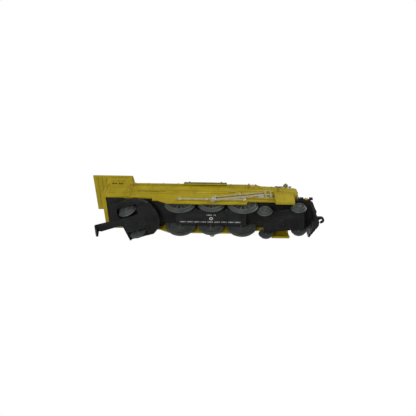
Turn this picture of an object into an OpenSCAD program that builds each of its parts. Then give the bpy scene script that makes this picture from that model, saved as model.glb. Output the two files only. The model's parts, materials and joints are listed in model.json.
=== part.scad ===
// Miniature 4-6-2 steam locomotive: die-cast shell on a plastic chassis, three free-turning
// driving wheelsets and two swivelling trucks.
// +X is the front, +Z is up, X = 0 is the middle driving axle, Z = 0 is the rail top.

/* [Running gear] */
// Distance between neighbouring driving axles
driver_pitch = 16.2; // [15.8:0.1:17]
// Flange radius of the front and rear drivers, which is also their axle height
driver_flange_r = 8.07; // [7.6:0.01:8.2]
// Flange radius of the smaller middle drivers
middle_flange_r = 7.0; // [6:0.1:7.6]
// Height of a flange above its tread
flange_h = 0.95; // [0.6:0.05:1.2]
// Half of the distance between the backs of two wheels on one axle
back_half = 6.86; // [6.5:0.01:6.95]
// Width of a wheel, flange and tread together
wheel_w = 1.7; // [1.2:0.1:1.9]
// Radius of every driving axle
axle_r = 1.0; // [0.7:0.05:1.2]
// Radius of the two smaller trucks' axles
truck_axle_r = 0.8; // [0.5:0.05:0.9]
// Radial clearance of an axle in its bearing
run_gap = 0.06; // [0.02:0.01:0.09]

/* [Pilot truck] */
// Distance of the pilot truck's pivot in front of the middle driving axle
pilot_pivot_x = 36.7; // [36.5:0.1:38]
// Distance between the pilot truck's two axles
pilot_base = 17.1; // [15:0.1:17.3]
// Flange radius of the pilot wheels
pilot_flange_r = 4.0; // [3.2:0.1:4.1]
// Angle the pilot truck is stored at
pilot_yaw = -7.5; // [-8:0.5:8]
// Half of the pilot truck frame's width
pilot_half_w = 5.4; // [4:0.1:5.9]

/* [Trailing truck] */
// Distance of the trailing truck's pivot behind the middle driving axle
trail_pivot_x = 34; // [33.5:0.1:36]
// Distance of the trailing axle behind that pivot
trail_axle_x = 7.1; // [6.5:0.1:7.6]
// Flange radius of the trailing wheels
trail_flange_r = 4.75; // [4:0.05:4.8]
// Angle the trailing truck is stored at
trail_yaw = -18; // [-20:1:20]
// Half of the trailing truck's width over its side frames
trail_half_w = 11.3; // [10.9:0.1:11.5]
// Length of the drawbar behind the pivot
drawbar_reach = 27.4; // [24:0.1:30]

/* [Shell] */
// Radius of the boiler at the cab
boiler_r = 9.25; // [8.8:0.05:9.4]
// Radius of the boiler at its front end
smokebox_r = 7.7; // [7:0.1:8.6]
// Height of the boiler's centre line
boiler_z = 22; // [21.5:0.1:22.6]
// Half of the width over the side skirts
skirt_half = 9.62; // [9.5:0.02:9.9]
// Thickness of the skirts
skirt_t = 0.75; // [0.6:0.05:0.85]
// Half of the width over the cab sides
cab_half = 10.31; // [10.1:0.01:10.8]
// Thickness of the cab walls
cab_t = 1.0; // [0.7:0.1:1.4]
// Half of the width over the roof's eaves
eave_half = 11.1; // [11:0.1:12]
// Distance of the cab's back edge behind the middle driving axle
cab_back = 56.6; // [55.5:0.1:58]
// Distance of the roof's back edge behind the middle driving axle
roof_back = 65.4; // [62:0.1:67]
// Height of the cab roof's crown
roof_top = 34.6; // [33.6:0.1:36]
// Radius of the cylinder covers about their own low centre line
cylinder_r = 12.4; // [12:0.1:12.8]

/* [Rods] */
// How far the crank boss stands out from a skirt
crank_proud = 2.3; // [1.2:0.1:2.6]
// Height of the side rods' centre line
rod_z = 7.9; // [7.4:0.1:8.6]

/* [Hidden] */
$fn = 48;

yellow = "#988815";
olive = "#6d6c25";
black = "#212320";
wheel_grey = "#464b48";
silver = "#c8c8c4";
steel = "#9a9c9e";

eps = 0.01;
axle_z = driver_flange_r;
face_half = back_half + wheel_w;         // outer face of every wheel
skirt_in = skirt_half - skirt_t;         // inner face of the skirts
skirt_top = 18.4;
arch_top = 16.9;                         // roof of the wheel space under the running boards
cab_floor_z = 9.9;                       // bottom edge of the cab and the rear skirts
skirt_low_z = 5.2;                       // bottom edge of the skirts beside the drivers
skirt_step_z = 7.9;
cab_front = -42.4;
eave_z = 28.8;
rail_z = 23.1;
boiler_back = cab_front - 1.2;
boiler_front = 46;
cyl_z = 9;                               // centre line of the cylinder covers
cyl_low_z = 4.2;
cyl_back = 32.4;
cyl_front = 42;
plate_z = 10;                            // underside of the chassis plate
plate_t = 1.4;
plate_top = plate_z + plate_t;
block_half = 5.4;
keeper_z = 6.1;
keeper_half = 4.7;
block_end = driver_pitch + 2.7;
truck_gap = 0.3;                         // height between a truck and the chassis plate
truck_top = plate_z - truck_gap;
pin_r = 1.1;
pin_head_r = 1.5;
pin_flange_r = 1.8;
pin_low_z = 6.0;
pin_neck_z = 6.8;
truck_low_z = 2.6;
screw_x = [-46.3, 29];
screw_r = 0.9;
post_r = 2.2;
casing_back = -15;
casing_front = 8.5;
casing_t = 1.1;

// Helpers ------------------------------------------------------------------------------

// Extrudes a (Y, Z) outline along X from x0 for a length
module along_x(x0, len) {
    translate([x0, 0, 0]) rotate([90, 0, 90]) linear_extrude(len) children();
}

// Extrudes an (X, Z) outline from one Y to another, low to high
module along_y(y0, y1) {
    translate([0, y1, 0]) rotate([90, 0, 0]) linear_extrude(y1 - y0) children();
}

// Draws its child on the chosen side: -1 is the right side, 1 the left
module on_side(s) {
    if (s < 0) children();
    if (s > 0) mirror([0, 1, 0]) children();
}

// A round bar between two points
module bar(a, b, r) {
    d = b - a;
    l = norm(d);
    translate(a) rotate([0, acos(d[2] / l), atan2(d[1], d[0])]) cylinder(h = l, r = r);
}

function boiler_r_at(x) = boiler_r + (smokebox_r - boiler_r)
    * pow(max(0, (x - boiler_back) / (boiler_front - boiler_back)), 4);

// Shell --------------------------------------------------------------------------------

boiler_steps = [boiler_back, -20, 8.5, 24.5, 34, boiler_front];

module boiler_solid(less = 0, x_cut = 0) {
    outline = concat(
        [[0, boiler_back]],
        [for (x = boiler_steps) [boiler_r_at(x) - less, x - (x == boiler_front ? x_cut : 0)]],
        [[0, boiler_front - x_cut]]);
    translate([0, 0, boiler_z]) rotate([0, 90, 0]) rotate_extrude($fn = 64) polygon(outline);
}

module skirt_outline() {
    polygon([
        [-cab_back + 1, cab_floor_z], [-30.4, cab_floor_z], [-30.4, skirt_step_z],
        [-27.6, skirt_step_z], [-22.4, skirt_low_z], [17.8, skirt_low_z], [18.7, skirt_step_z],
        [cyl_back + 1, skirt_step_z], [cyl_back + 1, skirt_top], [-cab_back + 1, skirt_top]]);
}

module cab_outline() {
    polygon([
        [-cab_back, cab_floor_z], [cab_front, cab_floor_z], [cab_front, 22.6],
        [cab_front - 1.8, eave_z + 1], [-cab_back, eave_z + 1]]);
}

module cab_roof() {
    rise = roof_top - eave_z - 0.8;
    r = (eave_half * eave_half + rise * rise) / (2 * rise);
    along_x(-roof_back, roof_back + cab_front - 1.3) intersection() {
        translate([0, roof_top - r]) circle(r, $fn = 96);
        translate([-eave_half, eave_z]) square([2 * eave_half, roof_top - eave_z + 1]);
    }
}

module cylinder_covers() {
    along_x(cyl_back, cyl_front - cyl_back) difference() {
        translate([0, cyl_z]) circle(cylinder_r, $fn = 96);
        translate([0, cyl_z]) circle(cylinder_r - 1.15, $fn = 96);
        translate([-20, cyl_low_z - 20]) square([40, 20]);
    }
}

module cylinder_bulkhead(x) {
    along_x(x, 0.9) difference() {
        translate([0, cyl_z]) circle(cylinder_r - 0.5, $fn = 96);
        translate([-20, cyl_low_z + 5.4 - 20]) square([40, 20]);
        translate([-9.6, 0]) square([19.2, 14.2]);
    }
}

module screw_posts() {
    for (x = screw_x)
        translate([x, 0, plate_top]) cylinder(h = 29.2 - plate_top, r = post_r);
}

module rivets(x0, pitch, count, y, z, r = 0.28) {
    for (i = [0 : count - 1])
        translate([x0 + i * pitch, y, z]) rotate([90, 0, 0]) cylinder(h = 0.5, r = r, center = true, $fn = 16);
}

module cab_side_detail() {
    // Belt ledge, window frame and roof-edge rivets
    translate([-cab_back, -cab_half - 0.25, 18.2]) cube([cab_back + cab_front, 0.6, 0.55]);
    translate([-cab_back, -cab_half - 0.18, 26.2]) cube([cab_back + cab_front - 1.2, 0.5, 0.4]);
    rivets(-54.6, 1.6, 6, -cab_half, 28.1);
    rivets(-54.9, 1.75, 7, -cab_half, 11.2, 0.24);
}

module body_casting() {
    color(yellow) difference() {
        union() {
            difference() {
                union() {
                    boiler_solid();
                    for (s = [-1, 1]) on_side(s) along_y(-skirt_half, -skirt_in + 4.4) skirt_outline();
                    // Running boards, a little proud of the skirts
                    for (s = [-1, 1]) on_side(s)
                        translate([boiler_back, -skirt_half - 0.35, arch_top])
                            cube([cyl_back - boiler_back + 0.6, 4, skirt_top - arch_top]);
                    along_y(-cab_half, cab_half) cab_outline();
                }
                // Wheel and chassis space, open below
                translate([-cab_back + 1.9, -skirt_in, -5])
                    cube([cab_back - 1.9 + boiler_front - 2, 2 * skirt_in, arch_top + 5]);
                // Inside of the boiler and of the cab
                boiler_solid(1.7, 2.2);
                translate([-cab_back + 1.9, -cab_half + cab_t, 8])
                    cube([cab_back - 1.9 + cab_front - 2.8, 2 * (cab_half - cab_t), eave_z - 8]);
            }
            cab_roof();
            cylinder_covers();
            for (x = [cyl_back, cyl_front - 0.9]) cylinder_bulkhead(x);
            screw_posts();
            for (s = [-1, 1]) on_side(s) cab_side_detail();
        }
        // Screw holes in the posts
        for (x = screw_x)
            translate([x, 0, plate_top - 1]) cylinder(h = 9, r = screw_r);
        // Shadow slot under each running board
        for (s = [-1, 1]) on_side(s)
            translate([-42, -skirt_half - 1, 15.1]) cube([16, 1.35, 0.6]);
        // Front windows beside the boiler, doorway and windows in the back wall
        for (s = [-1, 1]) on_side(s) {
            translate([cab_front - 5, -9.2, 26.9]) cube([8, 1.5, 1.8]);
            translate([-cab_back + 3, -cab_half - 1, 21.2]) cube([2.6, 1.3, 3.9]);
            translate([-cab_back + 6.4, -cab_half - 1, 21.2]) cube([2.6, 1.3, 3.9]);
            translate([-cab_back - 1, -7.6, 21]) cube([3.4, 2.9, 4.6]);
        }
        translate([-cab_back - 1, -2.6, plate_top + 1.4]) cube([3.4, 5.2, 13]);
        // Seat of the smokebox front
        translate([boiler_front - 2.4, 0, boiler_z]) rotate([0, 90, 0]) cylinder(h = 5, r = 5.2);
    }
}

module dome_casing() {
    // A raised sheet jacket that wraps the top of the boiler
    color(olive) difference() {
        along_x(casing_back, casing_front - casing_back) difference() {
            translate([0, boiler_z]) circle(boiler_r_at(casing_back) + casing_t, $fn = 96);
            translate([-20, boiler_z + 1.9 - 30]) square([40, 30]);
        }
        boiler_solid();
    }
}

module steam_dome() {
    top = boiler_z + boiler_r_at(casing_back) + casing_t;
    color(yellow) translate([-27, 0, top - 1.9]) {
        difference() {
            union() {
                cylinder(h = 3.6, r = 3.3);
                translate([0, 0, 3.6]) intersection() {
                    sphere(3.3);
                    translate([0, 0, -0.1]) cylinder(h = 1.9, r = 3.3);
                }
            }
            translate([27, 0, 1.9 - top]) boiler_solid();
        }
    }
}

module chimney() {
    x = 38.2;
    base = boiler_z + boiler_r_at(x);
    color(yellow) difference() {
        union() {
            translate([x, 0, base - 1.2]) cylinder(h = 2.6, r = 2.5);
            translate([x, 0, base - 1.2]) cylinder(h = 4.4, r = 1.9);
            translate([x, 0, base + 2.7]) cylinder(h = 0.7, r = 2.35);
        }
        translate([x, 0, base + 0.6]) cylinder(h = 5, r = 1.35);
        boiler_solid();
    }
}

module smokebox_front() {
    color(yellow) translate([boiler_front, 0, boiler_z]) rotate([0, 90, 0]) {
        translate([0, 0, -2.2]) cylinder(h = 2.2, r = 5.15);
        cylinder(h = 0.7, r = smokebox_r - 0.15);
        translate([0, 0, 0.7]) cylinder(h = 0.5, r = 5.4);
        for (a = [0 : 36 : 324]) rotate(a) translate([6.4, 0, 0.6]) cylinder(h = 0.55, r = 0.42, $fn = 16);
    }
}

module headlight() {
    color(silver) translate([boiler_front + 1.2, 0, boiler_z + 1.2]) rotate([0, 90, 0]) difference() {
        union() {
            cylinder(h = 1.7, r = 1.9);
            cylinder(h = 0.5, r = 2.3);
        }
        translate([0, 0, 1.2]) cylinder(h = 1, r = 1.45);
    }
}

module marker_lamps() {
    // One lamp on each upper flank of the smokebox
    color(olive) for (s = [-1, 1]) on_side(s)
        translate([41.2, 0, boiler_z]) rotate([54, 0, 0]) {
            translate([0, 0, boiler_r_at(41.2) - 0.5]) cylinder(h = 1.0, r = 0.7, $fn = 24);
            translate([0, 0, boiler_r_at(41.2) + 1.3]) sphere(1.15, $fn = 24);
        }
}

module bell() {
    x = 14;
    z = boiler_z + boiler_r_at(x);
    color(silver) translate([x, 0, z - 0.25]) {
        for (s = [-1, 1]) translate([-0.35, s * 1.75 - 0.3, 0]) cube([0.7, 0.6, 2.9]);
        translate([-0.35, -2.05, 2.5]) cube([0.7, 4.1, 0.5]);
        translate([0, 0, 0.75]) cylinder(h = 2.0, r1 = 1.25, r2 = 0.7);
    }
}

module safety_valves() {
    color(steel) for (dy = [-1.3, 0, 1.3])
        translate([-37, dy, boiler_z + boiler_r - 0.35]) {
            cylinder(h = 1.6, r = 0.4, $fn = 16);
            translate([0, 0, 1.2]) cylinder(h = 0.5, r = 0.55, $fn = 16);
        }
}

rail_y = boiler_r + 0.75;
rail_back = -41.8;
rail_front = 24.7;
rail_knobs = [-41.1, -34, -26, -18, 10.5, 24.3];

module handrail(s) {
    // A wire along the boiler in knobbed stanchions, dropping to the running board in front
    color(yellow) on_side(s) {
        translate([rail_back, -rail_y, rail_z]) rotate([0, 90, 0])
            cylinder(h = rail_front - rail_back, r = 0.3, $fn = 24);
        for (x = rail_knobs) {
            translate([x - 0.45, -rail_y, rail_z]) rotate([0, 90, 0]) cylinder(h = 0.9, r = 0.5, $fn = 24);
            reach = rail_y - sqrt(pow(boiler_r_at(x), 2) - pow(rail_z - boiler_z, 2)) + 0.3;
            translate([x, -rail_y + 0.1, rail_z]) rotate([-90, 0, 0]) cylinder(h = reach - 0.1, r = 0.26, $fn = 24);
        }
        bar([rail_front - 0.3, -rail_y, rail_z], [28.6, -skirt_half - 0.02, skirt_top - 0.2], 0.26, $fn = 24);
    }
}

module smokebox_rail(s) {
    color(black) on_side(s) translate([0, 0, boiler_z]) rotate([41, 0, 0]) {
        r = boiler_r_at(40.5) + 0.75;
        translate([35.6, 0, r + 0.1]) rotate([0, 90, 0]) cylinder(h = 9.2, r = 0.3, $fn = 16);
        for (x = [36.4, 44])
            translate([x, 0, boiler_r_at(x) - 0.3]) cylinder(h = r + 0.4 - boiler_r_at(x), r = 0.3, $fn = 16);
    }
}

// Rods, cast as thin relief and carried on the skirts -------------------------------------

module side_rod(s) {
    color(silver) on_side(s) {
        for (x = [-driver_pitch, driver_pitch + 0.6])
            translate([x, -skirt_half, rod_z]) rotate([90, 0, 0]) {
                cylinder(h = 1.0, r = 1.15, $fn = 32);
                cylinder(h = 1.45, r = 0.6, $fn = 24);
            }
        along_y(-skirt_half - 0.75, -skirt_half)
            translate([-driver_pitch, rod_z - 0.42]) square([2 * driver_pitch + 0.6, 0.84]);
        translate([-2.6, -skirt_half, rod_z]) rotate([90, 0, 0]) cylinder(h = 1.1, r = 0.9, $fn = 24);
    }
}

module main_rod(s) {
    // From the crank boss at the middle driver forward and up to the crosshead
    crosshead = [25.5, 11.6];
    crank = [0.7, rod_z - 1.3];
    color(silver) on_side(s) {
        translate([crank[0], -skirt_half, crank[1]]) rotate([90, 0, 0])
            cylinder(h = 0.75 + eps, r = 0.85, $fn = 32);
        translate([crank[0], -skirt_half - 0.75, crank[1]]) rotate([90, 0, 0])
            cylinder(h = crank_proud - 0.75, r = 1.35, $fn = 32);
        along_y(-skirt_half - 1.35, -skirt_half - 0.76)
            polygon([
                [crank[0], crank[1] - 0.62], [crosshead[0], crosshead[1] - 0.4],
                [crosshead[0], crosshead[1] + 0.4], [crank[0], crank[1] + 0.62]]);
    }
}

module valve_gear(s) {
    color(silver) on_side(s) {
        // Eccentric rod, radius rod, crosshead, guide bars and hanger, all raised from the skirt
        along_y(-skirt_half - 0.7, -skirt_half) {
            polygon([[1.4, 9.9], [14.6, 12.6], [14.6, 13.3], [1.4, 10.7]]);
            polygon([[14.6, 12.5], [29.6, 15.5], [29.6, 16.1], [14.6, 13.4]]);
            translate([22.6, 12.9]) square([cyl_back - 22.7, 0.5]);
            translate([22.6, 9.6]) square([cyl_back - 22.7, 0.5]);
            translate([27.9, 9.9]) square([0.8, 6.4]);
            translate([30.8, 9.9]) square([0.7, 6.4]);
        }
        along_y(-skirt_half - 0.76, -skirt_half)
            translate([24.2, 10.3]) square([3.2, 2.5]);
        for (p = [[14.6, 13], [28.3, 15.6], [2.0, 10.3], [31.1, 12]])
            translate([p[0], -skirt_half, p[1]]) rotate([90, 0, 0]) cylinder(h = 1.15, r = 0.75, $fn = 24);
    }
}

// Chassis ------------------------------------------------------------------------------

module chassis_frame() {
    color(black) difference() {
        union() {
            // Plate: wide under the cab and the cylinders, narrow between the drivers
            translate([-cab_back + 2.2, -skirt_in + 0.05, plate_z])
                cube([cab_back - 2.2 - driver_pitch - driver_flange_r - 1.4, 2 * (skirt_in - 0.05), plate_t]);
            translate([driver_pitch + driver_flange_r + 0.6, -skirt_in + 0.05, plate_z])
                cube([44 - driver_pitch - driver_flange_r - 0.6, 2 * (skirt_in - 0.05), plate_t]);
            translate([-28, -back_half + 0.5, plate_z]) cube([55, 2 * (back_half - 0.5), plate_t]);
            translate([-block_end, -block_half, axle_z])
                cube([2 * block_end, 2 * block_half, plate_z - axle_z + eps]);
            translate([-block_end + 1, -block_half + 0.7, plate_top - eps])
                cube([2 * block_end - 2, 2 * block_half - 1.4, 3]);
        }
        for (x = [-driver_pitch, 0, driver_pitch])
            translate([x, 0, axle_z]) rotate([90, 0, 0])
                cylinder(h = 30, r = axle_r + run_gap, center = true);
        for (x = [-trail_pivot_x, pilot_pivot_x])
            translate([x, 0, plate_z - 1]) cylinder(h = 4, r = pin_r);
        for (x = screw_x)
            translate([x, 0, plate_z - 1]) cylinder(h = 4, r = screw_r);
    }
}

module keeper_plate() {
    color(black) difference() {
        union() {
            translate([-block_end + 0.4, -keeper_half, keeper_z])
                cube([2 * block_end - 0.8, 2 * keeper_half, axle_z - keeper_z]);
            for (x = [-driver_pitch / 2, driver_pitch / 2])
                translate([x, -keeper_half + 0.6, keeper_z]) cylinder(h = axle_z - keeper_z, r = 1.5, $fn = 32);
        }
        for (x = [-driver_pitch, 0, driver_pitch])
            translate([x, 0, axle_z]) rotate([90, 0, 0])
                cylinder(h = 30, r = axle_r + run_gap, center = true);
    }
}

module chassis_screws() {
    color(steel) for (x = screw_x) {
        difference() {
            union() {
                translate([x, 0, plate_z - 0.25]) cylinder(h = 7.5, r = screw_r);
                translate([x, 0, plate_z - 0.25]) cylinder(h = 0.25, r = 1.5);
            }
            translate([x - 1.2, -0.15, plate_z - 0.4]) cube([2.4, 0.3, 0.3]);
        }
    }
}

pilot_back = 44;
pilot_nose = 55.4;
hook_x = pilot_nose + 2;                 // middle of the hook's eye

module pilot() {
    color(black) {
        difference() {
            union() {
                // Deck and the sloped, pointed plough under it
                translate([0, 0, plate_z + 0.3]) linear_extrude(1.8) polygon([
                    [pilot_back, -skirt_in + 0.1], [50.8, -skirt_in + 0.1], [53.2, -6.8], [pilot_nose, -2],
                    [pilot_nose, 2], [53.2, 6.8], [50.8, skirt_in - 0.1], [pilot_back, skirt_in - 0.1]]);
                translate([0, 0, 1.7]) linear_extrude(plate_z - 1.4 + eps) polygon([
                    [50.9, -8.3], [51.7, -8.5], [pilot_nose, -1.2], [pilot_nose, 1.2], [51.7, 8.5],
                    [50.9, 8.3], [52.9, 3.2], [52.9, -3.2]]);
                // Step brackets on both edges of the deck
                for (s = [-1, 1], x = [46.2, 51]) on_side(s)
                    translate([x, -skirt_in - 0.55, plate_z + 1]) cube([1.7, 0.8, 1.6]);
            }
            // Slots between the plough's slats
            for (y = [-6.9, -5.2, -3.5, 3.5, 5.2, 6.9])
                translate([50, y - 0.22, 0]) cube([0.55 + 6, 0.44, 2.2]);
        }
    }
}

module front_coupler_hook() {
    color(black) translate([0, 0, 6.3]) difference() {
        union() {
            translate([pilot_nose, -0.9, 0]) cube([1.5, 1.8, 1.4]);
            translate([hook_x, 1.0, 0]) cylinder(h = 1.4, r = 1.9, $fn = 32);
        }
        translate([hook_x, 1.2, -1]) cylinder(h = 4, r = 1.05, $fn = 32);
        translate([hook_x - 1.6, 1.2, -1]) cube([1.7, 3, 4]);
    }
}

module deck_steps() {
    color(yellow) for (s = [-1, 1]) on_side(s)
        translate([48.5, -skirt_in - 0.5, plate_z + 0.9]) cube([1.6, 0.6, 1.2]);
}

module deck_lamps() {
    color("#8c6a3c") for (s = [-1, 1]) on_side(s) translate([45.2, -7.9, plate_z + 2.1]) {
        cylinder(h = 1.6, r = 0.45, $fn = 16);
        translate([0, 0, 2.1]) sphere(0.95, $fn = 24);
    }
}

// Wheels -------------------------------------------------------------------------------

// Half outline of a rim: flange at the back, tread in front, turned about the axle
module rim(flange_r, tread_r, inner_r) {
    rotate_extrude($fn = 64) polygon([
        [inner_r, 0], [flange_r - 0.12, 0], [flange_r, 0.12], [flange_r - 0.1, 0.42],
        [tread_r, 0.62], [tread_r - 0.1, wheel_w], [inner_r, wheel_w]]);
}

module wheel_at(x, z, s) {
    // Local +Z of the wheel points outward along the axle
    on_side(s) translate([x, -back_half, z]) rotate([90, 0, 0]) children();
}

module driver_wheel(x, s, flange_r) {
    tread = flange_r - flange_h;
    color(wheel_grey) wheel_at(x, axle_z, s) difference() {
        union() {
            rim(flange_r, tread, tread - 1.25);
            cylinder(h = wheel_w, r = 2.1);
            translate([0, 0, 0.25]) for (a = [0 : 30 : 330]) rotate(a)
                translate([1.5, -0.36, 0]) cube([tread - 2.4, 0.72, 1.0]);
            cylinder(h = 0.4, r = tread - 0.8);
        }
        translate([0, 0, -1]) cylinder(h = 5, r = axle_r);
    }
}

module axle(x, z, r) {
    color(steel) translate([x, face_half - 0.05, z]) rotate([90, 0, 0])
        cylinder(h = 2 * (face_half - 0.05), r = r);
}

module small_wheel(x, z, s, flange_r) {
    tread = flange_r - flange_h;
    color(wheel_grey) wheel_at(x, z, s) difference() {
        union() {
            rim(flange_r, tread, tread - 0.8);
            cylinder(h = wheel_w - 0.45, r = tread - 0.5);
            cylinder(h = wheel_w, r = 1.3, $fn = 32);
        }
        translate([0, 0, -1]) cylinder(h = 5, r = truck_axle_r);
    }
}

// Trucks -------------------------------------------------------------------------------

module pivot_pin(x) {
    color(steel) translate([x, 0, 0]) {
        translate([0, 0, pin_low_z]) cylinder(h = pin_neck_z - pin_low_z, r = pin_head_r);
        translate([0, 0, pin_neck_z - eps]) cylinder(h = plate_top - pin_neck_z + 2 * eps, r = pin_r);
        translate([0, 0, plate_top]) cylinder(h = 1, r = pin_flange_r);
    }
}

// The cavity in a truck's boss that the pivot pin's neck and snap head sit in
module pivot_cavity() {
    translate([0, 0, pin_low_z - 0.1]) cylinder(h = pin_neck_z - pin_low_z + 0.2, r = pin_head_r + run_gap);
    translate([0, 0, pin_low_z]) cylinder(h = 6, r = pin_r + run_gap);
}

module on_pilot_truck() {
    translate([pilot_pivot_x, 0, 0]) rotate(pilot_yaw) children();
}

module on_trailing_truck() {
    translate([-trail_pivot_x, 0, 0]) rotate(trail_yaw) children();
}

module pilot_truck_frame() {
    back = -pilot_base / 2 - 1.2;
    front = pilot_base / 2 + 3;
    low = truck_low_z;
    top = 5.6;
    color(black) on_pilot_truck() difference() {
        union() {
            along_y(-pilot_half_w, pilot_half_w) polygon([
                [back, low], [front - 0.5, low], [front, low + 0.5], [front, top], [back, top]]);
            translate([-4.6, -pilot_half_w - 0.6, 3.6]) cube([9.2, 2 * pilot_half_w + 1.2, top - 3.6]);
            translate([0, 0, top - eps]) cylinder(h = truck_top - top, r = 4);
        }
        for (x = [-pilot_base / 2, pilot_base / 2])
            translate([x, 0, pilot_flange_r]) rotate([90, 0, 0])
                cylinder(h = 30, r = truck_axle_r + run_gap, center = true);
        pivot_cavity();
        // Raised rim along both edges of the underside
        for (s = [-1, 1]) on_side(s)
            translate([back + 2.6, -pilot_half_w + 0.5, low - 1]) cube([front - back - 6, 0.35, 1.35]);
    }
}

module trailing_plan() {
    // Straight sides, square back corners and a front that is one arc
    arc_r = 12.6;
    intersection() {
        translate([-14, -trail_half_w]) square([22, 2 * trail_half_w]);
        union() {
            translate([-5.8, 0]) circle(arc_r, $fn = 96);
            translate([-14, -trail_half_w]) square([8.2, 2 * trail_half_w]);
        }
    }
}

module trailing_truck_frame() {
    plate_low = 5.6;
    plate_high = 7.4;
    frame_high = 8.9;
    box_back = -12.5;
    slot_in = back_half - 0.45;
    slot_out = face_half + 0.55;
    slot_half = trail_flange_r + 0.4;
    color(black) on_trailing_truck() difference() {
        union() {
            translate([0, 0, plate_low]) linear_extrude(plate_high - plate_low) trailing_plan();
            for (s = [-1, 1]) on_side(s)
                translate([-14, -trail_half_w, plate_high - eps])
                    cube([12.3, trail_half_w - slot_out + 0.2, frame_high - plate_high]);
            // Box between the wheels, then a full-width slope up to the arc in front
            along_y(-4.6, 4.6) polygon([
                [box_back, truck_low_z], [0.2, truck_low_z], [0.2, plate_low + eps], [box_back, plate_low + eps]]);
            along_y(-trail_half_w + 3.1, trail_half_w - 3.1) polygon([
                [-1.6, truck_low_z], [0.2, truck_low_z], [5.0, plate_low + eps], [-1.6, plate_low + eps]]);
            // Back wall across the whole width
            translate([box_back, -9.8, truck_low_z]) cube([0.8, 19.6, plate_low - truck_low_z + eps]);
            translate([0, 0, plate_high - eps]) cylinder(h = truck_top - plate_high, r = 4.6);
        }
        for (s = [-1, 1]) on_side(s)
            translate([-trail_axle_x - slot_half, -slot_out, -1])
                cube([2 * slot_half, slot_out - slot_in, 12]);
        translate([-trail_axle_x, 0, trail_flange_r]) rotate([90, 0, 0])
            cylinder(h = 2 * (slot_in + 1), r = truck_axle_r + run_gap, center = true);
        pivot_cavity();
    }
}

module drawbar() {
    low = 4.1;
    t = 1.0;
    y0 = -1.5;
    color(black) on_trailing_truck() {
        translate([0, 0, low]) linear_extrude(t) polygon([
            [-12.5, y0 - 1.8], [-12.5, y0 + 1.8], [-drawbar_reach + 2, y0 + 2.3],
            [-drawbar_reach, y0 + 1.2], [-drawbar_reach, y0 - 2.1]]);
        // Tab bent down at the end
        translate([-drawbar_reach, 0, 0]) rotate([90, 0, 90]) linear_extrude(0.9) polygon([
            [y0 - 2.1, low + eps], [y0 + 1.7, low + eps], [y0 + 2.6, 0.7], [y0 + 1.6, 0.4]]);
    }
}

body_casting();
dome_casing();
steam_dome();
chimney();
smokebox_front();
headlight();
marker_lamps();
bell();
safety_valves();
handrail(-1);  // right_handrail
handrail(1);  // left_handrail
smokebox_rail(-1);  // right_smokebox_rail
smokebox_rail(1);  // left_smokebox_rail
side_rod(-1);  // right_side_rod
side_rod(1);  // left_side_rod
main_rod(-1);  // right_main_rod
main_rod(1);  // left_main_rod
valve_gear(-1);  // right_valve_gear
valve_gear(1);  // left_valve_gear
chassis_frame();
keeper_plate();
chassis_screws();
pilot();
front_coupler_hook();
deck_steps();
deck_lamps();
axle(-driver_pitch, axle_z, axle_r);  // rear_driver_axle
driver_wheel(-driver_pitch, -1, driver_flange_r);  // rear_driver_right_wheel
driver_wheel(-driver_pitch, 1, driver_flange_r);  // rear_driver_left_wheel
axle(0, axle_z, axle_r);  // middle_driver_axle
driver_wheel(0, -1, middle_flange_r);  // middle_driver_right_wheel
driver_wheel(0, 1, middle_flange_r);  // middle_driver_left_wheel
axle(driver_pitch, axle_z, axle_r);  // front_driver_axle
driver_wheel(driver_pitch, -1, driver_flange_r);  // front_driver_right_wheel
driver_wheel(driver_pitch, 1, driver_flange_r);  // front_driver_left_wheel
pivot_pin(pilot_pivot_x);  // pilot_truck_pivot
pilot_truck_frame();
on_pilot_truck() axle(-pilot_base / 2, pilot_flange_r, truck_axle_r);  // pilot_rear_axle
on_pilot_truck() small_wheel(-pilot_base / 2, pilot_flange_r, -1, pilot_flange_r);  // pilot_rear_right_wheel
on_pilot_truck() small_wheel(-pilot_base / 2, pilot_flange_r, 1, pilot_flange_r);  // pilot_rear_left_wheel
on_pilot_truck() axle(pilot_base / 2, pilot_flange_r, truck_axle_r);  // pilot_front_axle
on_pilot_truck() small_wheel(pilot_base / 2, pilot_flange_r, -1, pilot_flange_r);  // pilot_front_right_wheel
on_pilot_truck() small_wheel(pilot_base / 2, pilot_flange_r, 1, pilot_flange_r);  // pilot_front_left_wheel
pivot_pin(-trail_pivot_x);  // trailing_truck_pivot
trailing_truck_frame();
drawbar();
on_trailing_truck() axle(-trail_axle_x, trail_flange_r, truck_axle_r);  // trailing_axle
on_trailing_truck() small_wheel(-trail_axle_x, trail_flange_r, -1, trail_flange_r);  // trailing_right_wheel
on_trailing_truck() small_wheel(-trail_axle_x, trail_flange_r, 1, trail_flange_r);  // trailing_left_wheel
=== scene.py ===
"""A die-cast collector's miniature of a 4-6-2 steam locomotive, put together in the order it is built:
the painted shell and its fittings, the cast-on rods, the plastic chassis, the wheels and the two trucks."""

import json
import math

import bmesh
import bpy
from mathutils import Matrix, Vector


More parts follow.
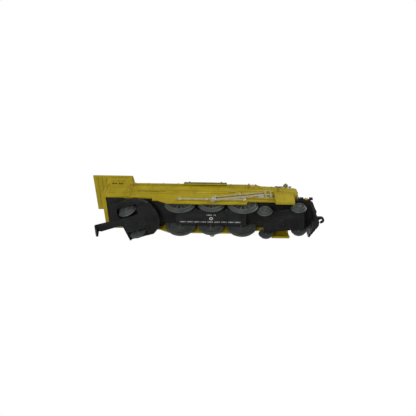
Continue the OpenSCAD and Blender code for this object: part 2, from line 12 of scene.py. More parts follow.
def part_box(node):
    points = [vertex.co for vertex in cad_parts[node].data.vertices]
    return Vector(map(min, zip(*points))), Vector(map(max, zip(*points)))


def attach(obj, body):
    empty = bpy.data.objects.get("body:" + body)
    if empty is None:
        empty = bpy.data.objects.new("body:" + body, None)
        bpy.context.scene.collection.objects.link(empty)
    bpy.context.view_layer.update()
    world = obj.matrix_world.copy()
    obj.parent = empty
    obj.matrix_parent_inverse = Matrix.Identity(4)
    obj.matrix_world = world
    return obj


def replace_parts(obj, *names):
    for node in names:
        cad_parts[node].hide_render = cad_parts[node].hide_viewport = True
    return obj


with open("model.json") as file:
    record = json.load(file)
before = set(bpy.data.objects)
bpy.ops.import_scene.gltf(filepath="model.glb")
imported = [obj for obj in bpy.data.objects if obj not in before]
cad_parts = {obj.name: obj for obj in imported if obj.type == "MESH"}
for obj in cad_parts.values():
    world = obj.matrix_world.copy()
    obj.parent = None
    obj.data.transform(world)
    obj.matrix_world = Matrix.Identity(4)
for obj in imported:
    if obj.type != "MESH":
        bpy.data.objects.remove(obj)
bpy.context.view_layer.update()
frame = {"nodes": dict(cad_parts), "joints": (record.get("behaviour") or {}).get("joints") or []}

# --- The shell -------------------------------------------------------------------------------
# On the real model it is one hollow zinc die casting: boiler, cab, running boards, skirts and
# cylinder covers in one, with rounded cast edges. It is screwed to the chassis from below.

mm = 0.001


def linear(hex_code):
    """Linear RGBA of an sRGB hex code."""
    channels = [int(hex_code[i:i + 2], 16) / 255 for i in (1, 3, 5)]
    return [c / 12.92 if c <= 0.04045 else ((c + 0.055) / 1.055) ** 2.4 for c in channels] + [1.0]


def feed(node, inputs):
    """Sets a node's inputs. One given as a socket is linked, and anything else is its value."""
    for name, value in inputs.items():
        if isinstance(value, bpy.types.NodeSocket):
            node.id_data.links.new(value, node.inputs[name])
        else:
            node.inputs[name].default_value = value


def add(tree, kind, inputs=None, **settings):
    """Adds a node with its inputs and its settings."""
    made = tree.nodes.new("ShaderNode" + kind)
    for name, value in settings.items():
        setattr(made, name, value)
    feed(made, inputs or {})
    return made


def blank_material(name):
    """A new material with its tree, its shader and the object coordinates for its patterns."""
    material = bpy.data.materials.new(name)
    material.use_nodes = True
    tree = material.node_tree
    place = add(tree, "TexCoord").outputs["Object"]
    return material, tree, tree.nodes["Principled BSDF"], place


def sprayed_enamel(name, thin, full, specks, roughness):
    """Semi-gloss enamel sprayed on zinc: the film is cloudy over about 8 mm, a little pale where it
    is thick, with a fine orange peel and a few specks of dust caught in it."""
    material, tree, shader, place = blank_material(name)
    film = add(tree, "TexNoise", {"Vector": place, "Scale": 1 / (8 * mm), "Detail": 5.0, "Roughness": 0.6})
    thickness = add(tree, "MapRange", {"Value": film.outputs["Fac"], "From Min": 0.33, "From Max": 0.67})
    body_colour = add(tree, "Mix", data_type="RGBA",
                      inputs={0: thickness.outputs["Result"], 6: linear(thin), 7: linear(full)})
    dust = add(tree, "TexNoise", {"Vector": place, "Scale": 1 / (0.9 * mm), "Detail": 2.0})
    speck = add(tree, "MapRange", {"Value": dust.outputs["Fac"], "From Min": 0.66, "From Max": 0.74,
                                   "To Max": 0.7})
    colour = add(tree, "Mix", data_type="RGBA", inputs={0: speck.outputs["Result"],
                                                        6: body_colour.outputs[2], 7: linear(specks)})
    peel = add(tree, "TexNoise", {"Vector": place, "Scale": 1 / (0.4 * mm), "Detail": 3.0})
    sheen = add(tree, "MapRange", {"Value": peel.outputs["Fac"], "From Min": 0.3, "From Max": 0.7,
                                   "To Min": roughness - 0.07, "To Max": roughness + 0.07})
    skin = add(tree, "Bump", {"Height": peel.outputs["Fac"], "Strength": 0.25, "Distance": 0.04 * mm})
    feed(shader, {"Base Color": colour.outputs[2], "Roughness": sheen.outputs["Result"],
                  "Normal": skin.outputs["Normal"], "Coat Weight": 0.2, "Coat Roughness": 0.22})
    return material


def finish_piece(piece, body, material, rounding):
    """Rounds a piece's sharp edges, shades it smooth between them, and puts it on its body."""
    piece.data.materials.clear()
    piece.data.materials.append(material)
    if rounding:
        edge = piece.modifiers.new("rounded_edges", "BEVEL")
        edge.width = rounding * mm
        edge.segments = 2
        edge.limit_method = "ANGLE"
        edge.angle_limit = math.radians(32)
        edge.harden_normals = True
    piece.data.shade_smooth()
    piece.data.set_sharp_from_angle(angle=math.radians(40))
    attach(piece, body)
    return piece


def recast(node, body, material, rounding):
    """The CAD node again as a merged mesh with its flat faces joined and its edges rounded."""
    shape = bmesh.new()
    shape.from_mesh(frame["nodes"][node].data)
    bmesh.ops.remove_doubles(shape, verts=shape.verts, dist=0.002 * mm)
    bmesh.ops.dissolve_limit(shape, angle_limit=math.radians(1), verts=shape.verts, edges=shape.edges)
    mesh = bpy.data.meshes.new(node + "_cast")
    shape.to_mesh(mesh)
    shape.free()
    piece = bpy.data.objects.new(node + "_cast", mesh)
    bpy.context.scene.collection.objects.link(piece)
    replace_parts(piece, node)
    return finish_piece(piece, body, material, rounding)


# Mustard enamel: the eye sees a warm yellow-green with soft, broad highlights.
mustard = sprayed_enamel("mustard_enamel", "#9f8b08", "#b09d15", "#84730c", 0.38)
recast("body_casting", "locomotive", mustard, 0.15)

# --- Boiler bands and rivet rows --------------------------------------------------------------
# Thin straps that hold the boiler's jacket, and the rivet rows of the smokebox. They are cast with
# the shell and painted with it.


def span(node):
    """Lowest and highest corner of a CAD node, in millimetres."""
    low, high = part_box(node)
    return low / mm, high / mm


def spun(degrees, axis="Z"):
    """A turn about one axis."""
    return Matrix.Rotation(math.radians(degrees), 4, axis)


def facing(at, along):
    """The space that starts at a point and whose Z runs along a direction."""
    return Matrix.Translation(Vector(at)) @ Vector(along).to_track_quat("Z", "X").to_matrix().to_4x4()


def turned(shape, outline, space, steps=48):
    """Spins an outline of (radius, height) corners all the way round its space's Z."""
    old = set(shape.verts)
    corners = [shape.verts.new((radius, 0, height)) for radius, height in outline]
    edges = [shape.edges.new(pair) for pair in zip(corners, corners[1:])]
    bmesh.ops.spin(shape, geom=corners + edges, cent=(0, 0, 0), axis=(0, 0, 1), angle=math.tau, steps=steps,
                   use_merge=True)
    bmesh.ops.transform(shape, matrix=space, verts=[v for v in shape.verts if v not in old])


def arched(shape, outline, space, start, sweep, steps=40):
    """Spins a flat outline of (radius, height) corners through part of a turn, closed at both ends."""
    old = set(shape.verts)
    corners = [shape.verts.new((radius * math.cos(start), radius * math.sin(start), height)) for radius,
               height in outline]
    face = shape.faces.new(corners)
    bmesh.ops.spin(shape, geom=[face, *face.edges, *corners], cent=(0, 0, 0), axis=(0, 0, 1), angle=sweep,
                   steps=steps)
    bmesh.ops.transform(shape, matrix=space, verts=[v for v in shape.verts if v not in old])


def strap(radius, half_width, proud):
    """Outline of a flat strap laid round a barrel and let into it by 0.2 mm."""
    return [(radius - 0.2, -half_width), (radius - 0.2, half_width), (radius + proud, half_width),
            (radius + proud, -half_width)]


def rivet(shape, at, along, radius=0.26):
    """A snap-head rivet standing on a surface."""
    turned(shape, [(0, -0.2), (radius, -0.2), (radius, 0), (radius * 0.72, radius * 0.5),
                   (0, radius * 0.75)], facing(at, along), 8)


def build(name, shape, body, material, rounding=0.0):
    """Makes a shape drawn in millimetres a piece, with its doubles merged and its faces outward."""
    bmesh.ops.remove_doubles(shape, verts=shape.verts, dist=0.003)
    bmesh.ops.recalc_face_normals(shape, faces=shape.faces)
    bmesh.ops.scale(shape, vec=(mm, mm, mm), verts=shape.verts)
    mesh = bpy.data.meshes.new(name)
    shape.to_mesh(mesh)
    shape.free()
    piece = bpy.data.objects.new(name, mesh)
    bpy.context.scene.collection.objects.link(piece)
    return finish_piece(piece, body, material, rounding)


shell_low, shell_high = span("body_casting")
door_low, door_high = span("smokebox_front")
casing_low, casing_high = span("dome_casing")
boiler_z = (door_low.z + door_high.z) / 2
front_radius = (door_high.z - door_low.z) / 2 + 0.15
back_radius = (casing_high.z - boiler_z) - 1.05


def boiler_radius(x):
    """The boiler is nearly straight from the cab and draws in towards its front."""
    stations = [shell_low.x + 21.8, -20, 8.5, 24.5, 34, shell_high.x]
    radii = [back_radius + (front_radius - back_radius)
             * ((s - stations[0]) / (stations[-1] - stations[0])) ** 4 for s in stations]
    for i in range(len(stations) - 1):
        if x <= stations[i + 1]:
            share = (x - stations[i]) / (stations[i + 1] - stations[i])
            return radii[i] + (radii[i + 1] - radii[i]) * share
    return radii[-1]


def outward(degrees):
    """The way out from the boiler's axis: 0 is the left-hand side, 90 the crown, 180 the right."""
    return Vector((0, math.cos(math.radians(degrees)), math.sin(math.radians(degrees))))


def on_boiler(x, degrees, lift=0.0):
    """A point on the boiler's jacket, or lifted off it."""
    return Vector((x, 0, boiler_z)) + outward(degrees) * (boiler_radius(x) + lift)


shape = bmesh.new()
for x in (-39.6, -31.2, -20.4, 12.0, 19.0, 26.4, 33.2):
    arched(shape, strap(boiler_radius(x), 0.45, 0.16), facing((x, 0, boiler_z), (1, 0, 0)),
           math.radians(-111), math.radians(222))
build("boiler_bands", shape, "locomotive", mustard, 0.07)

shape = bmesh.new()
for x in (34.6, 45.2):
    for step in range(-10, 11):
        rivet(shape, on_boiler(x, 90 + step * 10.5), outward(90 + step * 10.5), 0.2)
build("smokebox_rivets", shape, "locomotive", mustard)

# --- Running-board pipes and cylinder fittings -------------------------------------------------
# Fine pipes along the running boards and down the boiler's flanks, and the bolted rings of the
# cylinder covers. All are cast in relief on the shell and painted with it.


def wire(shape, points, radius, steps=10):
    """A round wire: a ring at every point, square to the run, bridged one to the next."""
    points = [Vector(p) for p in points]
    rings = []
    for i, point in enumerate(points):
        run = points[min(i + 1, len(points) - 1)] - points[max(i - 1, 0)]
        ring = bmesh.ops.create_circle(shape, cap_ends=i in (0, len(points) - 1), segments=steps,
                                       radius=radius, matrix=facing(point, run))["verts"]
        rings.append([e for e in {e for v in ring for e in v.link_edges}
                      if e.other_vert(e.verts[0]) in ring and e.verts[0] in ring])
    for one, two in zip(rings, rings[1:]):
        bmesh.ops.bridge_loops(shape, edges=one + two)


def block(shape, low, high, space=Matrix()):
    """A box between two corners, in a space of its own."""
    low, high = Vector(low), Vector(high)
    bmesh.ops.create_cube(shape, size=1, matrix=space @ Matrix.Translation((low + high) / 2)
                          @ Matrix.Diagonal((*(high - low), 1)))


def hexagon(shape, at, along, radius, height):
    """A hexagon nut or bolt head that stands on a point."""
    bmesh.ops.create_cone(shape, cap_ends=True, segments=6, radius1=radius, radius2=radius * 0.94,
                          depth=height, matrix=facing(at, along) @ Matrix.Translation((0, 0, height / 2)))


rod_low, rod_high = span("left_side_rod")
skirt = rod_low.y
cover_z = 9.0
cover_radius = shell_high.y
for side, sign in (("right", -1), ("left", 1)):
    shape = bmesh.new()
    board = sign * (skirt + 0.1)
    level = 90 - 90 * sign
    # Injector pipe under the running board, a bend up at each end
    wire(shape, [(-39.8, board, 12.2), (-39.8, board, 13.4), (-39.4, board, 14.0), (-38.6, board, 14.3),
                 (-20.0, board, 14.3), (-18.8, board, 14.5), (-18.2, board, 15.2), (-18.0, board, 16.9)],
         0.32)
    wire(shape, [(-9.0, board, 16.9), (-8.8, board, 15.6), (-8.0, board, 15.0), (8.0, board, 15.0),
                 (9.0, board, 15.4), (9.4, board, 16.9)], 0.26)
    # Sand pipes down the boiler's flank from the casing
    for x in (-10.5, 4.0):
        wire(shape, [on_boiler(x, level + sign * a, 0.15) for a in range(10, -24, -4)], 0.24)
    # Delivery pipe and its clack valve on the flank, ahead of the casing
    delivery = [on_boiler(20.8, level + sign * a, 0.2) for a in range(38, -22, -4)]
    wire(shape, delivery, 0.36)
    turned(shape, [(0, -0.4), (0.75, -0.4), (0.75, 0.35), (0.5, 0.6), (0.5, 0.95), (0, 1.1)],
           facing(delivery[0], outward(level + sign * 38)), 20)
    # Steam pipe from the smokebox down to the steam chest
    wire(shape, [(36.6, sign * 6.4, 24.6), (36.8, sign * 7.6, 23.4), (37.0, sign * 8.3, 21.8),
                 (37.1, sign * 8.5, 20.2), (37.2, sign * 8.4, 18.2)], 1.05, 16)
    # Bolted ring at each end of the cylinder cover, and the inspection cover between them
    for x in (33.0, 41.3):
        for a in range(-16, 34, 9):
            away = outward(level + sign * a)
            rivet(shape, Vector((x, 0, cover_z)) + away * (cover_radius - 0.02), away, 0.2)
    arched(shape, strap(cover_radius, 0.3, 0.12), facing((37.2, 0, cover_z), (1, 0, 0)),
           math.radians(-108 if sign > 0 else 54), math.radians(54), 24)
    build(side + "_pipework", shape, "locomotive", mustard, 0.05)

# --- The cab ------------------------------------------------------------------------------------
# The cab is part of the casting too. Its roof has cross ribs and a sliding ventilator; its sides
# have framed windows under a drip ledge, grab irons and a plain raised plate with no number.
cab_side = 10.31
shape = bmesh.new()
roof_half = 11.1
rise = shell_high.z - 28.8 - 0.8
roof_radius = (roof_half ** 2 + rise ** 2) / (2 * rise)
reach = math.asin((roof_half - 0.5) / roof_radius)
for x in (shell_low.x + 0.5, -60.2, -55.0, -49.8, -44.4):
    arched(shape, [(roof_radius - 0.25, -0.28), (roof_radius - 0.25, 0.28), (roof_radius + 0.16, 0.28),
                   (roof_radius + 0.16, -0.28)], facing((x, 0, shell_high.z - roof_radius), (1, 0, 0)),
           -reach, 2 * reach)
for y in (-2.3, 2.3):
    block(shape, (-58.6, y - 0.25, shell_high.z - 0.5), (-51.4, y + 0.25, shell_high.z + 0.35))
block(shape, (-57.2, -2.2, shell_high.z - 0.4), (-53.0, 2.2, shell_high.z + 0.28))
for y in (-1.2, 0, 1.2):
    block(shape, (-56.9, y - 0.15, shell_high.z + 0.1), (-53.3, y + 0.15, shell_high.z + 0.42))
# Ribs under the overhang at the back
for x in (-63.3, -60.9, -58.6):
    block(shape, (x - 0.22, -10.4, 28.55), (x + 0.22, 10.4, 28.95))
build("roof_ribs", shape, "locomotive", mustard, 0.07)


def moulded(name, deep, raised, grain_mm, roughness, relief):
    """Plastic moulded in a spark-eroded tool: an even fine grain, a little paler on its tips, with
    slow shifts in tone where the mould filled."""
    material, tree, shader, place = blank_material(name)
    grain = add(tree, "TexNoise", {"Vector": place, "Scale": 1 / (grain_mm * mm), "Detail": 3.0,
                                   "Roughness": 0.65})
    flow = add(tree, "TexNoise", {"Vector": place, "Scale": 1 / (6 * mm), "Detail": 3.0})
    both = add(tree, "Math", operation="MULTIPLY_ADD",
               inputs={0: grain.outputs["Fac"], 1: 0.6, 2: flow.outputs["Fac"]})
    tone = add(tree, "MapRange", {"Value": both.outputs["Value"], "From Min": 0.62, "From Max": 1.0})
    colour = add(tree, "Mix", data_type="RGBA", inputs={0: tone.outputs["Result"], 6: linear(deep),
                                                        7: linear(raised)})
    sheen = add(tree, "MapRange", {"Value": grain.outputs["Fac"], "From Min": 0.3, "From Max": 0.7,
                                   "To Min": roughness + 0.08, "To Max": roughness - 0.08})
    skin = add(tree, "Bump", {"Height": grain.outputs["Fac"], "Strength": relief, "Distance": 0.06 * mm})
    feed(shader, {"Base Color": colour.outputs[2], "Roughness": sheen.outputs["Result"],
                  "Normal": skin.outputs["Normal"]})
    return material


def border(shape, low_x, high_x, low_z, high_z, strip, wall, lift):
    """Four raised strips round a rectangle on a side wall."""
    for z in (low_z, high_z - strip):
        block(shape, (low_x, wall - lift, z), (high_x, wall + lift, z + strip))
    for x in (low_x, high_x - strip):
        block(shape, (x, wall - lift, low_z), (x + strip, wall + lift, high_z))


# Dark glossy panes, nearly black, behind the small lights of the side windows: painted shade for the dark
# inside the open lower sashes.
window_pane_shade = moulded("window_pane_shade", "#231c08", "#33290e", 1.2, 0.3, 0.1)
for side, sign in (("right", -1), ("left", 1)):
    shape = bmesh.new()
    wall = sign * cab_side
    for x in (-52.3, -48.9):
        border(shape, x - 1.65, x + 1.65, 20.85, 25.45, 0.35, wall, 0.22)
        block(shape, (x - 1.4, wall - 0.22, 23.05), (x + 1.4, wall + 0.22, 23.25))
    # Armrest under the windows and drip ledge over them
    block(shape, (-54.4, wall - 0.45, 20.35), (-46.8, wall + 0.45, 20.75))
    block(shape, (-54.6, wall - 0.4, 25.75), (-46.6, wall + 0.4, 26.0))
    # Corner beading, and the blank plate's raised border
    for x in (-56.35, -42.75):
        block(shape, (x - 0.2, wall - 0.15, 10.2), (x + 0.2, wall + 0.15, 22.4))
    border(shape, -53.4, -45.6, 13.0, 16.4, 0.25, wall, 0.12)
    for z in (12.0, 17.2):
        for i in range(15):
            rivet(shape, (-55.6 + i * 0.9, wall, z), (0, sign, 0), 0.13)
    build(side + "_cab_detail", shape, "locomotive", mustard, 0.05)
    # Three small dark panes in the lower half of each window, set back in it: painted shade for the dark
    # inside the window.
    glass_y = wall - sign * 0.26
    shape = bmesh.new()
    for x in (-52.3, -48.9):
        for pane in (x - 0.83, x, x + 0.83):
            block(shape, (pane - 0.3, glass_y - 0.07, 21.7), (pane + 0.3, glass_y + 0.07, 22.95))
    build(side + "_window_shade_panes", shape, "locomotive", window_pane_shade)
    shape = bmesh.new()
    for x in (-55.7, -43.5):
        wire(shape, [(x, wall - sign * 0.2, 13.1), (x, wall + sign * 0.5, 13.2),
                     (x, wall + sign * 0.72, 13.6), (x, wall + sign * 0.72, 20.8),
                     (x, wall + sign * 0.5, 21.2), (x, wall - sign * 0.2, 21.3)], 0.2)
    build(side + "_grab_irons", shape, "locomotive", mustard)

# A row of small raised plugs under each eave in the casing's olive: painted shade that stands for the dark of
# vent holes.
shape = bmesh.new()
for sign in (-1, 1):
    for i in range(6):
        turned(shape, [(0, -0.3), (0.4, -0.3), (0.4, 0.1), (0.25, 0.2), (0, 0.2)],
               facing((-54.6 + i * 1.6, sign * cab_side, 28.1), (0, sign, 0)), 12)
eave_olive = sprayed_enamel("olive_enamel", "#66651f", "#75742b", "#4c4b1c", 0.42)
build("eave_plugs_painted_shade", shape, "locomotive", eave_olive)
# Thin dark olive lines over the rear running board: painted shadow for the shade in the gap there.
shape = bmesh.new()
for sign in (-1, 1):
    for start, stop in ((-38.6, -27.4), (-26.8, -24.2)):
        wire(shape, [(start, sign * (skirt + 0.03), 16.15), (stop, sign * (skirt + 0.03), 15.75)], 0.2, 8)
build("board_painted_shadow_lines", shape, "locomotive", eave_olive)

# --- The dome casing ------------------------------------------------------------------------------
# A raised jacket over the sand and steam domes, masked and sprayed olive. It has riveted
# edges, three filler lids with hinges, and four bolts that hold it down.
recast("dome_casing", "locomotive", eave_olive, 0.3)
shape = bmesh.new()
jacket = back_radius + 1.08
for x in (casing_low.x + 0.7, casing_high.x - 0.7):
    for step in range(-8, 9):
        rivet(shape, Vector((x, 0, boiler_z)) + outward(90 + step * 9) * jacket, outward(90 + step * 9), 0.2)
for x in (-10.8, -3.2, 4.4):
    turned(shape, [(0, -0.8), (1.75, -0.8), (1.75, 0.1), (1.55, 0.3), (1.5, 0.62), (1.2, 0.85), (0.4, 0.95),
                   (0.35, 1.15), (0, 1.2)], facing((x, 0, casing_high.z), (0, 0, 1)), 36)
    block(shape, (x - 0.35, 1.3, casing_high.z - 0.4), (x + 0.35, 2.35, casing_high.z + 0.45))
for degrees in (145, 35):
    for x in (-12.0, 5.6):
        hexagon(shape, Vector((x, 0, boiler_z)) + outward(degrees) * jacket, outward(degrees), 0.42, 0.35)
build("casing_lids", shape, "locomotive", eave_olive, 0.06)

# --- Steam dome and chimney ---------------------------------------------------------------------
# Two turned zinc castings pressed into the boiler's crown and painted with the shell, with the
# flared skirts that the real ones have where they meet the curved jacket.
low, high = span("steam_dome")
shape = bmesh.new()
radius = (high.x - low.x) / 2
top = high.z - low.z
dome_foot = Matrix.Translation((low.x + radius, 0, low.z))
turned(shape, [(0, -0.6), (radius + 0.35, -0.6), (radius + 0.35, 0.05), (radius + 0.05, 0.35),
               (radius - 0.3, 0.85), (radius - 0.42, 1.5), (radius - 0.42, top - 2.3),
               (radius - 0.62, top - 1.5), (radius - 1.15, top - 0.8), (radius - 2.0, top - 0.28),
               (0.9, top - 0.06), (0.55, top), (0, top)], dome_foot, 56)
for a in range(0, 360, 36):
    rivet(shape, dome_foot @ spun(a) @ Vector((radius - 0.05, 0, 0.45)), (0, 0, 1), 0.16)
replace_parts(build("steam_dome_turned", shape, "locomotive", mustard), "steam_dome")

low, high = span("chimney")
shape = bmesh.new()
centre = (low.x + high.x) / 2
tall = high.z - low.z
turned(shape, [(1.3, -0.9), (2.75, -0.9), (2.75, -0.05), (2.45, 0.25), (2.05, 0.75), (1.88, 1.3),
               (1.84, tall - 1.1), (2.05, tall - 0.85), (2.32, tall - 0.7), (2.36, tall - 0.35),
               (2.2, tall - 0.08), (1.9, tall), (1.5, tall - 0.05), (1.38, tall - 0.4), (1.3, -0.9)],
       facing((centre, 0, low.z), (0, 0, 1)), 48)
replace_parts(build("chimney_turned", shape, "locomotive", mustard), "chimney")
# A black disc a little way down the chimney's bore: painted shade for the dark inside the chimney.
shape = bmesh.new()
turned(shape, [(0, 0.8), (1.5, 0.8), (1.5, 1.0), (0, 1.0)], facing((centre, 0, low.z), (0, 0, 1)), 32)
# Black ABS: dark and slightly grey on its grain, with dull highlights.
black_abs = moulded("black_abs", "#191a19", "#2a2b2a", 0.3, 0.5, 0.5)
build("chimney_shadow_plug", shape, "locomotive", black_abs)

# --- Smokebox front and lamps --------------------------------------------------------------------
# The dished door with its hinge straps and ring of clamps, a central headlight in silver paint,
# two olive marker lamps on the flanks and two black wire rails.
shape = bmesh.new()
facing_front = facing((door_low.x + 2.2, 0, boiler_z), (1, 0, 0))
ring = (door_high.z - door_low.z) / 2
turned(shape, [(0, -2.2), (5.1, -2.2), (5.1, 0), (ring - 0.1, 0), (ring, 0.15), (ring - 0.05, 0.55),
               (ring - 0.35, 0.75), (5.9, 0.8), (5.75, 0.62), (5.6, 0.62), (5.45, 0.85), (4.4, 1.05),
               (2.6, 1.18), (0, 1.22)], facing_front, 64)
for a in range(0, 360, 36):
    clamp = facing_front @ spun(a + 18)
    block(shape, (5.35, -0.32, 0.6), (6.75, 0.32, 1.05), clamp)
    hexagon(shape, clamp @ Vector((6.35, 0, 1.0)), (1, 0, 0), 0.3, 0.28)
hinge_strap = ((-5.6, 0.95), (-4.5, 1.2), (-2.5, 1.3), (1.5, 1.3))
for z in (-2.3, 2.3):
    wire(shape, [facing_front @ Vector((z, *corner)) for corner in hinge_strap], 0.28)
wire(shape, [(door_high.x - 0.3, -6.1, boiler_z + 3.9), (door_high.x - 0.1, -6.0, boiler_z + 3.9)], 0.2)
for a in range(0, 360, 18):
    rivet(shape, facing_front @ spun(a) @ Vector((7.05, 0, 0.72)), (1, 0, 0), 0.16)
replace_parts(build("smokebox_door", shape, "locomotive", mustard, 0.05), "smokebox_front")


def brushed_silver(name, root_y, tip_y, base, cover_top=0.6):
    """Aluminium paint brushed over the raised faces: bright and a little streaky, thin at the roots,
    where the colour below it shows through."""
    material, tree, shader, place = blank_material(name)
    parts = add(tree, "SeparateXYZ", {"Vector": place})
    out = add(tree, "Math", operation="ABSOLUTE", inputs={0: parts.outputs["Y"]})
    streak_space = add(tree, "Mapping", {"Vector": place, "Scale": (1.0, 3.0, 4.0)})
    streak = add(tree, "TexNoise", {"Vector": streak_space.outputs["Vector"], "Scale": 1 / (2.2 * mm),
                                    "Detail": 4.0, "Roughness": 0.7})
    height = add(tree, "MapRange", {"Value": out.outputs["Value"], "From Min": root_y * mm,
                                    "From Max": tip_y * mm, "To Min": -0.35, "To Max": cover_top})
    cover = add(tree, "Math", operation="ADD", inputs={0: height.outputs["Result"], 1: streak.outputs["Fac"]})
    painted = add(tree, "MapRange", {"Value": cover.outputs["Value"], "From Min": 0.38, "From Max": 0.62})
    silver = add(tree, "Mix", data_type="RGBA", inputs={0: streak.outputs["Fac"], 6: linear("#c2bb9b"),
                                                        7: linear("#ece7d3")})
    colour = add(tree, "Mix", data_type="RGBA", inputs={0: painted.outputs["Result"], 6: linear(base),
                                                        7: silver.outputs[2]})
    metal = add(tree, "Math", operation="MULTIPLY", inputs={0: painted.outputs["Result"], 1: 0.55})
    sheen = add(tree, "MapRange", {"Value": streak.outputs["Fac"], "From Min": 0.3, "From Max": 0.7,
                                   "To Min": 0.3, "To Max": 0.48})
    skin = add(tree, "Bump", {"Height": streak.outputs["Fac"], "Strength": 0.3, "Distance": 0.03 * mm})
    feed(shader, {"Base Color": colour.outputs[2], "Metallic": metal.outputs["Value"],
                  "Roughness": sheen.outputs["Result"], "Normal": skin.outputs["Normal"]})
    return material


lamp_silver = brushed_silver("aluminium_paint", -1.0, -0.5, "#998918")
low, high = span("headlight")
shape = bmesh.new()
lamp = facing((low.x, 0, (low.z + high.z) / 2), (1, 0, 0))
turned(shape, [(0, -0.2), (1.2, -0.2), (1.75, 0.1), (1.9, 0.5), (1.9, 1.15), (2.28, 1.25), (2.3, 1.6),
               (2.1, 1.72), (1.75, 1.72), (1.6, 1.5), (1.2, 1.05), (0, 0.75)], lamp, 48)
arched(shape, [(1.95, 1.1), (1.95, 2.15), (2.12, 2.15), (2.12, 1.1)], lamp, math.radians(-70),
       math.radians(140), 24)
block(shape, (low.x - 0.3, -0.7, low.z - 0.5), (low.x + 1.2, 0.7, low.z + 0.4))
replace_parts(build("headlight_body", shape, "locomotive", lamp_silver, 0.04), "headlight")

# Pressed clear lens: bright, glossy and faintly ribbed.
lens, tree, shader, place = blank_material("pressed_acrylic")
ribs = add(tree, "TexWave", bands_direction="Y",
           inputs={"Vector": place, "Scale": 1 / (2.0 * mm), "Distortion": 0.3})
glass = add(tree, "Mix", data_type="RGBA", inputs={0: ribs.outputs["Fac"], 6: linear("#c9cdc4"),
                                                   7: linear("#eef0ea")})
ribbed = add(tree, "Bump", {"Height": ribs.outputs["Fac"], "Strength": 0.3, "Distance": 0.03 * mm})
feed(shader, {"Base Color": glass.outputs[2], "Normal": ribbed.outputs["Normal"], "Roughness": 0.08,
              "IOR": 1.49})
shape = bmesh.new()
turned(shape, [(0, 1.1), (1.55, 1.45), (1.58, 1.6), (1.2, 1.72), (0.7, 1.8), (0, 1.84)], lamp, 36)
build("headlight_lens", shape, "locomotive", lens)

shape = bmesh.new()
for degrees in (144, 36):
    stand = facing(on_boiler(41.2, degrees, -0.4), outward(degrees))
    turned(shape, [(0, -0.3), (0.95, -0.3), (0.95, 0.25), (0.6, 0.5), (0.6, 0.75), (1.05, 1.0), (1.15, 1.5),
                   (1.12, 2.1), (0.8, 2.45), (0.45, 2.55), (0.4, 2.8), (0, 2.85)], stand, 28)
    for a in (90, 210, 330):
        side = stand @ Matrix.Translation((0, 0, 1.6)) @ spun(a) @ spun(90, "Y")
        turned(shape, [(0, 0.8), (0.55, 0.8), (0.55, 1.2), (0.42, 1.28), (0, 1.2)], side, 16)
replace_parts(build("marker_lamp_bodies", shape, "locomotive", eave_olive), "marker_lamps")

for side, sign in (("right", -1), ("left", 1)):
    low, high = span(side + "_smokebox_rail")
    shape = bmesh.new()
    away = outward(90 - sign * 41)
    spine = Vector((0, 0, boiler_z)) + away * (boiler_radius(40.5) + 0.85)
    wire(shape, [spine + Vector((x, 0, 0)) for x in (low.x, low.x + 2.5, high.x - 2.5, high.x)], 0.28)
    for x in (36.4, 44.0):
        turned(shape, [(0, -0.1), (0.5, -0.1), (0.5, 0.4), (0.24, 0.55), (0.24, 0.9), (0, 0.95)],
               facing(on_boiler(x, 90 - sign * 41, -0.25), away), 14)
        bmesh.ops.create_uvsphere(shape, u_segments=14, v_segments=9, radius=0.46,
                                  matrix=Matrix.Translation(Vector((x, 0, 0)) + spine))
    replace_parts(build(side + "_smokebox_rail_wire", shape, "locomotive", black_abs),
                side + "_smokebox_rail")

# --- Bell and safety valves ----------------------------------------------------------------------
# The bell swings in a cast yoke ahead of the casing and is picked out in silver paint. Three
# turned steel safety valves stand in front of the cab.
low, high = span("bell")
shape = bmesh.new()
middle = (low.x + high.x) / 2
for sign in (-1, 1):
    wire(shape, [(middle, sign * 1.75, low.z - 0.15), (middle, sign * 1.75, low.z + 1.5),
                 (middle, sign * 1.7, high.z - 0.7), (middle, sign * 1.3, high.z - 0.25),
                 (middle, sign * 0.5, high.z - 0.2), (middle, 0, high.z - 0.2)], 0.3)
    turned(shape, [(0, -0.2), (0.62, -0.2), (0.62, 0.15), (0.4, 0.4), (0, 0.4)],
           facing((middle, sign * 1.75, low.z), (0, 0, 1)), 16)
turned(shape, [(0, 0.75), (0.7, 0.75), (0.95, 0.62), (1.25, 0.5), (1.28, 0.6), (1.1, 0.9), (0.88, 1.3),
               (0.74, 1.8), (0.66, 2.2), (0.4, 2.5), (0.22, 2.6), (0.2, 2.85), (0, 2.9)],
       facing((middle, 0, low.z), (0, 0, 1)), 36)
bell_silver = brushed_silver("aluminium_paint_thin", -1.0, 0.6, "#756f3a")
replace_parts(build("bell_and_yoke", shape, "locomotive", bell_silver), "bell")


def turned_steel(name, dark, bright, roughness):
    """Free-cutting steel, turned and nickel plated: bright, with fine rings across the axis and a
    little grey oil film."""
    material, tree, shader, place = blank_material(name)
    film = add(tree, "TexNoise", {"Vector": place, "Scale": 1 / (1.5 * mm), "Detail": 4.0})
    colour = add(tree, "Mix", data_type="RGBA", inputs={0: film.outputs["Fac"], 6: linear(dark),
                                                        7: linear(bright)})
    rings = add(tree, "TexNoise", {"Vector": place, "Scale": 1 / (0.25 * mm), "Detail": 2.0})
    sheen = add(tree, "MapRange", {"Value": rings.outputs["Fac"], "To Min": roughness - 0.08,
                                   "To Max": roughness + 0.12})
    feed(shader, {"Base Color": colour.outputs[2], "Roughness": sheen.outputs["Result"], "Metallic": 1.0})
    return material


